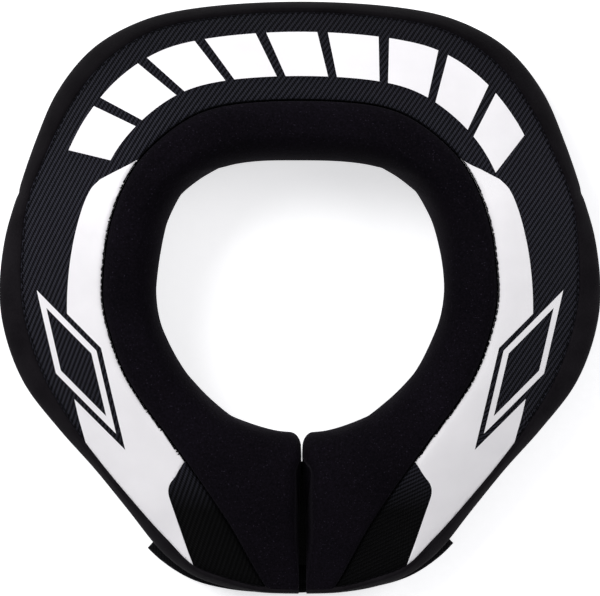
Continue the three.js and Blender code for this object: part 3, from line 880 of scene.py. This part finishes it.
def lining_line(from_inside):
    """The seam near the lining's inner or outer edge."""
    line = []
    for v in round_ring(LINING_SEAM_START, 400):
        section = section_at(v)
        s = ROLL_FOOT + LINING_SEAM if from_inside else section.length - WALL_FOOT - LINING_SEAM
        line.append(section.inner + section.outward * s)
    return line


def foot_marks(pitch):
    """Stitch places along the wall's foot seam, down in its groove."""
    line = []
    for v in round_ring(FOOT_SEAM_START, 500):
        section = section_at(v)
        face = wall_face(section, 0, *WALL_STEPS)
        z = floor_of(section) + FOOT_SEAM
        a, b = next((a, b) for a, b in zip(face, face[1:]) if a[1] >= z >= b[1])
        s = lerp(a[0], b[0], (z - a[1]) / (b[1] - a[1]))
        line.append((in_frame(section, s - FOOT_SINK, z), section.outward.to_3d()))
    marks, carried = [], pitch / 2
    for (a, out), (b, _) in zip(line, line[1:]):
        span = (b - a).length / MM
        while carried < span:
            marks.append((a.lerp(b, carried / span), (b - a).normalized(), out))
            carried += pitch
        carried -= span
    return marks


lining_tree = BVHTree.FromObject(lining, bpy.context.evaluated_depsgraph_get())
roll_marks = surface_marks(seam_line(0, ROLL_SEAM_OUT), cover_tree, STITCH_PITCH, -ROLL_SEAM_RISE)
wall_marks = surface_marks(seam_line(1, -WALL_SEAM_IN), cover_tree, STITCH_PITCH, LOOSE,
                           covered=[stripe_loop(1), stripe_loop(-1)])
lining_marks = [mark for line in (lining_line(True), lining_line(False))
                for mark in surface_marks(line, lining_tree, LINING_PITCH, LINING_SINK, from_above=False)]
stitches = [
    stitch_row("roll_seam_stitches", roll_marks),
    stitch_row("wall_seam_stitches", wall_marks, thread=WALL_THREAD),
    stitch_row("foot_seam_stitches", foot_marks(FOOT_PITCH)),
    stitch_row("lining_stitches", lining_marks, LINING_STITCH),
]


# Hook tape: a woven strip with rows of small nylon hooks, one modelled and copied
def model_hook():
    """A nylon hook in millimetres: a square stem that tapers, bends over towards +X and dips at its tip."""
    bpy.ops.object.select_all(action="DESELECT")
    bpy.ops.mesh.primitive_plane_add(size=0.3)
    hook = bpy.context.object
    bpy.ops.object.mode_set(mode="EDIT")
    bpy.ops.mesh.select_all(action="SELECT")
    end = Vector((0, 0, 0))
    stem, bend, tip = ((0, 0, 0.3), 0, 0.8), ((0.16, 0, 0.16), 90, 0.833), ((0.18, 0, -0.06), 0, 0.6)
    for way, turn, taper in (stem, bend, tip):
        bpy.ops.mesh.extrude_region_move(TRANSFORM_OT_translate={"value": way})
        end += Vector(way)
        if turn:
            bpy.ops.transform.rotate(value=-math.radians(turn), orient_axis="Y", center_override=end)
        bpy.ops.transform.resize(value=(taper, taper, taper), center_override=end)
    bpy.ops.object.mode_set(mode="OBJECT")
    return take_shape(hook)


def model_strip(low, high):
    """The woven strip that the hooks stand on, a small notch cut from each corner."""
    bpy.ops.object.select_all(action="DESELECT")
    bpy.ops.mesh.primitive_cube_add(size=1, location=(low + high) / 2, scale=high - low)
    strip = bpy.context.object
    bpy.ops.object.transform_apply(location=True, rotation=True, scale=True)
    bpy.ops.object.mode_set(mode="EDIT")
    bpy.ops.mesh.select_all(action="DESELECT")
    bpy.ops.mesh.select_mode(type="EDGE")
    bm = bmesh.from_edit_mesh(strip.data)
    for edge in bm.edges:
        a, b = edge.verts
        edge.select_set(abs(a.co.z - b.co.z) > (high.z - low.z) / 2)
    bmesh.update_edit_mesh(strip.data)
    bpy.ops.mesh.bevel(offset=TAPE_CORNER * MM, segments=3, profile=0)
    bpy.ops.mesh.select_mode(type="VERT")
    bpy.ops.object.mode_set(mode="OBJECT")
    return take_shape(strip)


def hook_tape_from(strip, hook, low, high):
    """The strip with its rows of hooks, which lean left and right by turns."""
    edge, pitch = TAPE_EDGE * MM, HOOK_PITCH * MM
    rows = int((high.y - low.y - 2 * edge) / pitch) + 1
    columns = int((high.x - low.x - 2 * edge) / pitch) + 1

    def build(bm):
        copy_shape(bm, strip, lambda p: p)
        for i in range(rows):
            for j in range(columns):
                foot = Vector((low.x + edge + j * pitch, low.y + edge + i * pitch, high.z))
                lean = 1 if (i + j) % 2 else -1
                copy_shape(bm, hook, lambda p: foot + Vector((lean * p.x, p.y, p.z)) * MM)
    return new_piece("hook_tape", build)


tape_low, tape_high = (Vector(corner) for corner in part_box("hook_patch"))
tape_high.z = tape_low.z + BACKING * MM
hook_tape = hook_tape_from(model_strip(tape_low, tape_high), model_hook(), tape_low, tape_high)
for face in hook_tape.data.polygons:
    face.use_smooth = False


# Materials
def linear(code):
    """sRGB hex to linear colour."""
    parts = [int(code[i:i + 2], 16) / 255 for i in (1, 3, 5)]
    return tuple(c / 12.92 if c <= 0.04045 else ((c + 0.055) / 1.055) ** 2.4 for c in parts) + (1.0,)


def lumps(millimetres):
    """The noise scale whose lumps lie this far apart."""
    return 1 / (millimetres * MM)


def bands(millimetres):
    """The wave scale whose bands lie this far apart, as the wave pattern turns 20 radians to a unit."""
    return 2 * math.pi / (20 * millimetres * MM)


def add_node(tree, kind, settings=None, **inputs):
    """A node with its settings, its inputs set or linked, each by its name or by _ and its number."""
    node = tree.nodes.new(kind)
    for key, value in (settings or {}).items():
        setattr(node, key, value)
    for key, value in inputs.items():
        socket = node.inputs[int(key[1:]) if key[0] == "_" else key.replace("_", " ")]
        if isinstance(value, bpy.types.NodeSocket):
            tree.links.new(value, socket)
        else:
            socket.default_value = value
    return node


def finish_named(name, **shader):
    """A material with its shader's plain values, and the tree to add its pattern to."""
    material = bpy.data.materials.new(name)
    material.use_nodes = True
    tree = material.node_tree
    principled = tree.nodes["Principled BSDF"]
    for key, value in shader.items():
        principled.inputs[key.replace("_", " ")].default_value = value
    return material, tree, principled


def blend_colours(tree, factor, *stops):
    """A colour ramp through stops of position and hex colour."""
    ramp = tree.nodes.new("ShaderNodeValToRGB")
    tree.links.new(factor, ramp.inputs["Fac"])
    elements = ramp.color_ramp.elements
    while len(elements) < len(stops):
        elements.new(0.5)
    for element, (position, code) in zip(elements, stops):
        element.position, element.color = position, linear(code)
    return ramp.outputs["Color"]


def brushed_fleece():
    # Brushed polyester jersey over foam: short pile, no gloss, a pale bloom where it is seen edge on.
    material, tree, shader = finish_named(
        "brushed_fleece", Roughness=0.95, Specular_IOR_Level=0.02, IOR=1.45,
        Sheen_Weight=0.05, Sheen_Roughness=0.35, Sheen_Tint=linear("#b0a9b8"))
    where = add_node(tree, "ShaderNodeTexCoord").outputs["Object"]
    # Tufts of pile are about 0.4 mm, drawn at 1.1 mm so that they show, and flecks of lint are 0.67 mm.
    # The nap lies in soft patches of about 36 mm.
    pile = add_node(tree, "ShaderNodeTexNoise", Vector=where, Scale=lumps(1.1), Detail=3.0, Roughness=0.7)
    nap = add_node(tree, "ShaderNodeTexNoise", Vector=where, Scale=lumps(36), Detail=2.0)
    lint = add_node(tree, "ShaderNodeTexNoise", Vector=where, Scale=lumps(0.67), Detail=0.0)
    mixed = add_node(tree, "ShaderNodeMath", {"operation": "MULTIPLY_ADD"}, _0=nap.outputs["Fac"], _1=0.4,
                     _2=pile.outputs["Fac"])
    colour = blend_colours(tree, mixed.outputs[0], (0.4, "#050509"), (0.65, "#0b090d"), (0.95, "#120f16"))
    specks = blend_colours(tree, lint.outputs["Fac"], (0.74, "#000000"), (0.82, "#1d1a22"))
    flecked = add_node(tree, "ShaderNodeMix", {"data_type": "RGBA", "blend_type": "ADD"},
                       _0=1.0, _6=colour, _7=specks)
    tree.links.new(flecked.outputs[2], shader.inputs["Base Color"])
    bump = add_node(tree, "ShaderNodeBump", Strength=0.5, Distance=0.0004, Height=pile.outputs["Fac"])
    tree.links.new(bump.outputs["Normal"], shader.inputs["Normal"])
    return material


def embossed_twill():
    # Polyester twill with a pressed rib: broad ribs with a fine slanted twist, and dark lines between them.
    material, tree, shader = finish_named(
        "embossed_twill", Specular_IOR_Level=0.055, IOR=1.5,
        Sheen_Weight=0.01, Sheen_Tint=linear("#9a9aa6"))
    laid = add_node(tree, "ShaderNodeUVMap", {"uv_map": "cloth"}).outputs["UV"]
    turned = add_node(tree, "ShaderNodeMapping", Vector=laid, Rotation=(0, 0, math.radians(35.5)))
    parts = add_node(tree, "ShaderNodeSeparateXYZ", Vector=turned.outputs["Vector"])
    # The cloth map is in decimetres. Ribs lie 1.95 mm apart, and along a rib the twist repeats every 1 mm.
    decimetre = 100
    ribs = add_node(tree, "ShaderNodeMath", {"operation": "MULTIPLY"}, _0=parts.outputs["X"],
                    _1=2 * math.pi * decimetre / 1.95)
    rib = add_node(tree, "ShaderNodeMath", {"operation": "SINE"}, _0=ribs.outputs[0])
    twist_at = add_node(tree, "ShaderNodeMath", {"operation": "MULTIPLY"}, _0=parts.outputs["Y"],
                        _1=2 * math.pi * decimetre / 1.0)
    twist_on = add_node(tree, "ShaderNodeMath", {"operation": "MULTIPLY_ADD"}, _0=ribs.outputs[0], _1=0.8,
                        _2=twist_at.outputs[0])
    twist = add_node(tree, "ShaderNodeMath", {"operation": "SINE"}, _0=twist_on.outputs[0])
    height = add_node(tree, "ShaderNodeMath", {"operation": "MULTIPLY_ADD"}, _0=twist.outputs[0], _1=0.75,
                      _2=rib.outputs[0])
    level = add_node(tree, "ShaderNodeMapRange", _0=height.outputs[0], _1=-1.35, _2=1.35, _3=0.0, _4=1.0)
    where = add_node(tree, "ShaderNodeTexCoord").outputs["Object"]
    # Yarns differ a little from one 0.9 mm stretch to the next.
    yarn = add_node(tree, "ShaderNodeTexNoise", Vector=where, Scale=lumps(0.91), Detail=2.0)
    uneven = add_node(tree, "ShaderNodeMath", {"operation": "MULTIPLY_ADD"}, _0=yarn.outputs["Fac"], _1=0.5,
                      _2=level.outputs[0])
    colour = blend_colours(tree, uneven.outputs[0], (0.3, "#050507"), (0.72, "#131318"), (1.0, "#2b2b34"))
    # Painted shade: the colour is darkened by place along Y, strongly at the front panels and a little at
    # the back, in place of the gloss that only the sides catch from the lamps.
    place = add_node(tree, "ShaderNodeSeparateXYZ", Vector=where)
    along = add_node(tree, "ShaderNodeMapRange", _0=place.outputs["Y"], _1=-0.13, _2=0.13, _3=0.0, _4=1.0)
    painted_gloss_shade = blend_colours(tree, along.outputs[0], (0.12, "#303030"), (0.195, "#e0e0e0"), (0.68, "#ffffff"),
                           (0.87, "#dcdcdc"), (1.0, "#c0c0c0"))
    twill_colour_with_painted_shade = add_node(tree, "ShaderNodeMix", {"data_type": "RGBA", "blend_type": "MULTIPLY"}, _0=1.0,
                      _6=colour, _7=painted_gloss_shade)
    gloss = add_node(tree, "ShaderNodeMapRange", _0=level.outputs[0], _1=0.3, _2=1.0, _3=0.9, _4=0.42)
    tree.links.new(gloss.outputs[0], shader.inputs["Roughness"])
    tree.links.new(twill_colour_with_painted_shade.outputs[2], shader.inputs["Base Color"])
    bump = add_node(tree, "ShaderNodeBump", Strength=0.8, Distance=0.0005, Height=level.outputs[0])
    tree.links.new(bump.outputs["Normal"], shader.inputs["Normal"])
    return material


def smooth_neoprene():
    # Neoprene faced with fine jersey: close and even, matt, a little paler than the fleece.
    material, tree, shader = finish_named(
        "smooth_neoprene", Roughness=0.78, Specular_IOR_Level=0.02, IOR=1.45,
        Sheen_Weight=0.006, Sheen_Roughness=0.5, Sheen_Tint=linear("#a09ca6"))
    where = add_node(tree, "ShaderNodeTexCoord").outputs["Object"]
    # Jersey loops are 0.5 mm, drawn at 0.9 mm so that they show, and its dye is uneven over about 14 mm.
    knit = add_node(tree, "ShaderNodeTexVoronoi", Vector=where, Scale=lumps(0.91))
    cloud = add_node(tree, "ShaderNodeTexNoise", Vector=where, Scale=lumps(14.3), Detail=4.0)
    mixed = add_node(tree, "ShaderNodeMath", {"operation": "MULTIPLY_ADD"}, _0=knit.outputs["Distance"],
                     _1=0.25, _2=cloud.outputs["Fac"])
    colour = blend_colours(tree, mixed.outputs[0], (0.35, "#100e11"), (0.8, "#19171a"))
    # Painted shade: the wall's colour is darkened a little towards the back.
    place = add_node(tree, "ShaderNodeSeparateXYZ", Vector=where)
    depth = add_node(tree, "ShaderNodeMapRange", _0=place.outputs["Y"], _1=0.03, _2=0.12, _3=0.0, _4=1.0)
    painted_back_shade = blend_colours(tree, depth.outputs[0], (0.0, "#ffffff"), (1.0, "#c4c4c4"))
    shaded = add_node(tree, "ShaderNodeMix", {"data_type": "RGBA", "blend_type": "MULTIPLY"}, _0=1.0,
                      _6=colour, _7=painted_back_shade)
    tree.links.new(shaded.outputs[2], shader.inputs["Base Color"])
    bump = add_node(tree, "ShaderNodeBump", Strength=0.35, Distance=0.0002, Height=knit.outputs["Distance"])
    tree.links.new(bump.outputs["Normal"], shader.inputs["Normal"])
    return material


def brushed_tricot():
    # Knitted lining laminated to thin foam: rows of small loops, quite matt.
    material, tree, shader = finish_named(
        "brushed_tricot", Roughness=0.9, Specular_IOR_Level=0.08, IOR=1.45,
        Sheen_Weight=0.04, Sheen_Roughness=0.5, Sheen_Tint=linear("#9a969f"))
    where = add_node(tree, "ShaderNodeTexCoord").outputs["Object"]
    # Rows are 1.3 mm apart and the loops in them 0.9 mm.
    rows = add_node(tree, "ShaderNodeTexWave", {"bands_direction": "X"}, Vector=where, Scale=bands(1.3),
                    Distortion=0.6, Detail=1.0, Detail_Scale=200.0)
    loops = add_node(tree, "ShaderNodeTexWave", {"bands_direction": "Y"}, Vector=where, Scale=bands(0.9),
                     Distortion=0.5)
    both = add_node(tree, "ShaderNodeMath", {"operation": "MULTIPLY"}, _0=rows.outputs["Fac"],
                    _1=loops.outputs["Fac"])
    colour = blend_colours(tree, both.outputs[0], (0.0, "#070708"), (1.0, "#1d1c20"))
    tree.links.new(colour, shader.inputs["Base Color"])
    bump = add_node(tree, "ShaderNodeBump", Strength=0.6, Distance=0.0003, Height=both.outputs[0])
    tree.links.new(bump.outputs["Normal"], shader.inputs["Normal"])
    return material


def bonded_thread():
    # Bonded polyester thread: twisted, smoother than the cloth. Its plies are drawn 0.6 mm apart to show.
    material, tree, shader = finish_named("bonded_thread", Roughness=0.6, Specular_IOR_Level=0.03, IOR=1.5)
    where = add_node(tree, "ShaderNodeTexCoord").outputs["Object"]
    ply = add_node(tree, "ShaderNodeTexWave", {"bands_direction": "DIAGONAL"}, Vector=where,
                   Scale=bands(0.6))
    colour = blend_colours(tree, ply.outputs["Fac"], (0.0, "#020203"), (1.0, "#0c0b0e"))
    tree.links.new(colour, shader.inputs["Base Color"])
    return material


def nylon_hooks():
    # Moulded and woven nylon hook tape: harder and shinier than the fabrics round it.
    material, tree, shader = finish_named("nylon_hooks", Roughness=0.45, Specular_IOR_Level=0.2, IOR=1.53)
    where = add_node(tree, "ShaderNodeTexCoord").outputs["Object"]
    # The backing's woven rows are 0.9 mm apart.
    weave = add_node(tree, "ShaderNodeTexWave", {"bands_direction": "Y"}, Vector=where, Scale=bands(0.9),
                     Distortion=0.4)
    colour = blend_colours(tree, weave.outputs["Fac"], (0.0, "#040406"), (1.0, "#0e0e13"))
    tree.links.new(colour, shader.inputs["Base Color"])
    bump = add_node(tree, "ShaderNodeBump", Strength=0.4, Distance=0.0002, Height=weave.outputs["Fac"])
    tree.links.new(bump.outputs["Normal"], shader.inputs["Normal"])
    return material


def transfer_film():
    # Heat-pressed polyurethane film: opaque, satin, faintly uneven from the cloth beneath it.
    material, tree, shader = finish_named("transfer_film", Roughness=0.42, Specular_IOR_Level=0.5, IOR=1.5)
    where = add_node(tree, "ShaderNodeTexCoord").outputs["Object"]
    # It is uneven over about 26 mm, and the cloth shows through in dimples of 2.4 mm.
    cloud = add_node(tree, "ShaderNodeTexNoise", Vector=where, Scale=lumps(26.3), Detail=3.0)
    colour = blend_colours(tree, cloud.outputs["Fac"], (0.3, "#e5e3e6"), (0.7, "#eeecef"))
    tree.links.new(colour, shader.inputs["Base Color"])
    press = add_node(tree, "ShaderNodeTexNoise", Vector=where, Scale=lumps(2.4), Detail=2.0)
    bump = add_node(tree, "ShaderNodeBump", Strength=0.12, Distance=0.0002, Height=press.outputs["Fac"])
    tree.links.new(bump.outputs["Normal"], shader.inputs["Normal"])
    return material


def paper_floor():
    # Paper on a light table: white, matt, lit a little from below so that it stays white in the opening.
    # Its grain is 3.3 mm.
    material, tree, shader = finish_named("paper_floor", Roughness=0.9, Specular_IOR_Level=0.1,
                                          Emission_Color=linear("#fdfdff"), Emission_Strength=0.6)
    where = add_node(tree, "ShaderNodeTexCoord").outputs["Object"]
    grain = add_node(tree, "ShaderNodeTexNoise", Vector=where, Scale=lumps(3.3), Detail=2.0)
    colour = blend_colours(tree, grain.outputs["Fac"], (0.3, "#e2e2e3"), (0.7, "#e8e8e9"))
    tree.links.new(colour, shader.inputs["Base Color"])
    return material


fleece, twill, neoprene, tricot = brushed_fleece(), embossed_twill(), smooth_neoprene(), brushed_tricot()
thread, nylon, white_film = bonded_thread(), nylon_hooks(), transfer_film()


def hand_over(piece, material, slot, *nodes):
    """Dress a piece, hang it on the root body and hide the solids that it stands for. The slot is not used.
    """
    piece.data.materials.append(material)
    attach(piece, "root")
    if nodes:
        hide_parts(*nodes)


hand_over(neck_roll, fleece, "roll_fleece", "neck_collar")
hand_over(top_cover, twill, "top_twill", "shoulder_pad")
hand_over(side_right, neoprene, "wall_neoprene", "side_wall_right")
hand_over(back, neoprene, "wall_neoprene", "back_wall")
hand_over(side_left, neoprene, "wall_neoprene", "side_wall_left")
hand_over(lining, tricot, "lining", "base_panel")
hand_over(front_flap, tricot, "lining", "closure_flap")
hand_over(hook_tape, nylon, "hook_tape", "hook_patch")
for node_name, piece in films.items():
    hand_over(piece, white_film, "white_print", node_name)
for piece in stitches:
    hand_over(piece, thread, "top_twill")

# Floor, light and camera
bpy.ops.object.select_all(action="DESELECT")
bpy.ops.mesh.primitive_plane_add(size=12, location=(0, 0, 0))
floor = bpy.context.object
floor.name = "floor"
floor.data.materials.append(paper_floor())

world = bpy.data.worlds.new("studio")
scene.world = world
world.use_nodes = True
world.node_tree.nodes["Background"].inputs["Color"].default_value = linear("#fafafc")
world.node_tree.nodes["Background"].inputs["Strength"].default_value = 0.36


def softbox(name, place, size, power):
    """A square lamp that faces the middle of the floor."""
    light = bpy.data.lights.new(name, "AREA")
    light.shape, light.size, light.energy = "SQUARE", size, power
    lamp = bpy.data.objects.new(name, light)
    lamp.location = place
    lamp.rotation_euler = (-Vector(place)).to_track_quat("-Z", "Y").to_euler()
    scene.collection.objects.link(lamp)


softbox("key_light", (-1.35, 1.05, 1.8), 1.2, 46.5)
softbox("fill_light", (1.6, 0.5, 1.7), 1.2, 19)

scene.view_settings.view_transform = "Standard"
bpy.ops.object.camera_add(location=(0, 0, 2.5), rotation=(0, 0, 0))
camera = bpy.context.object
camera.data.sensor_width = 36
camera.data.lens = 318.6
camera.data.clip_end = 50
scene.camera = camera
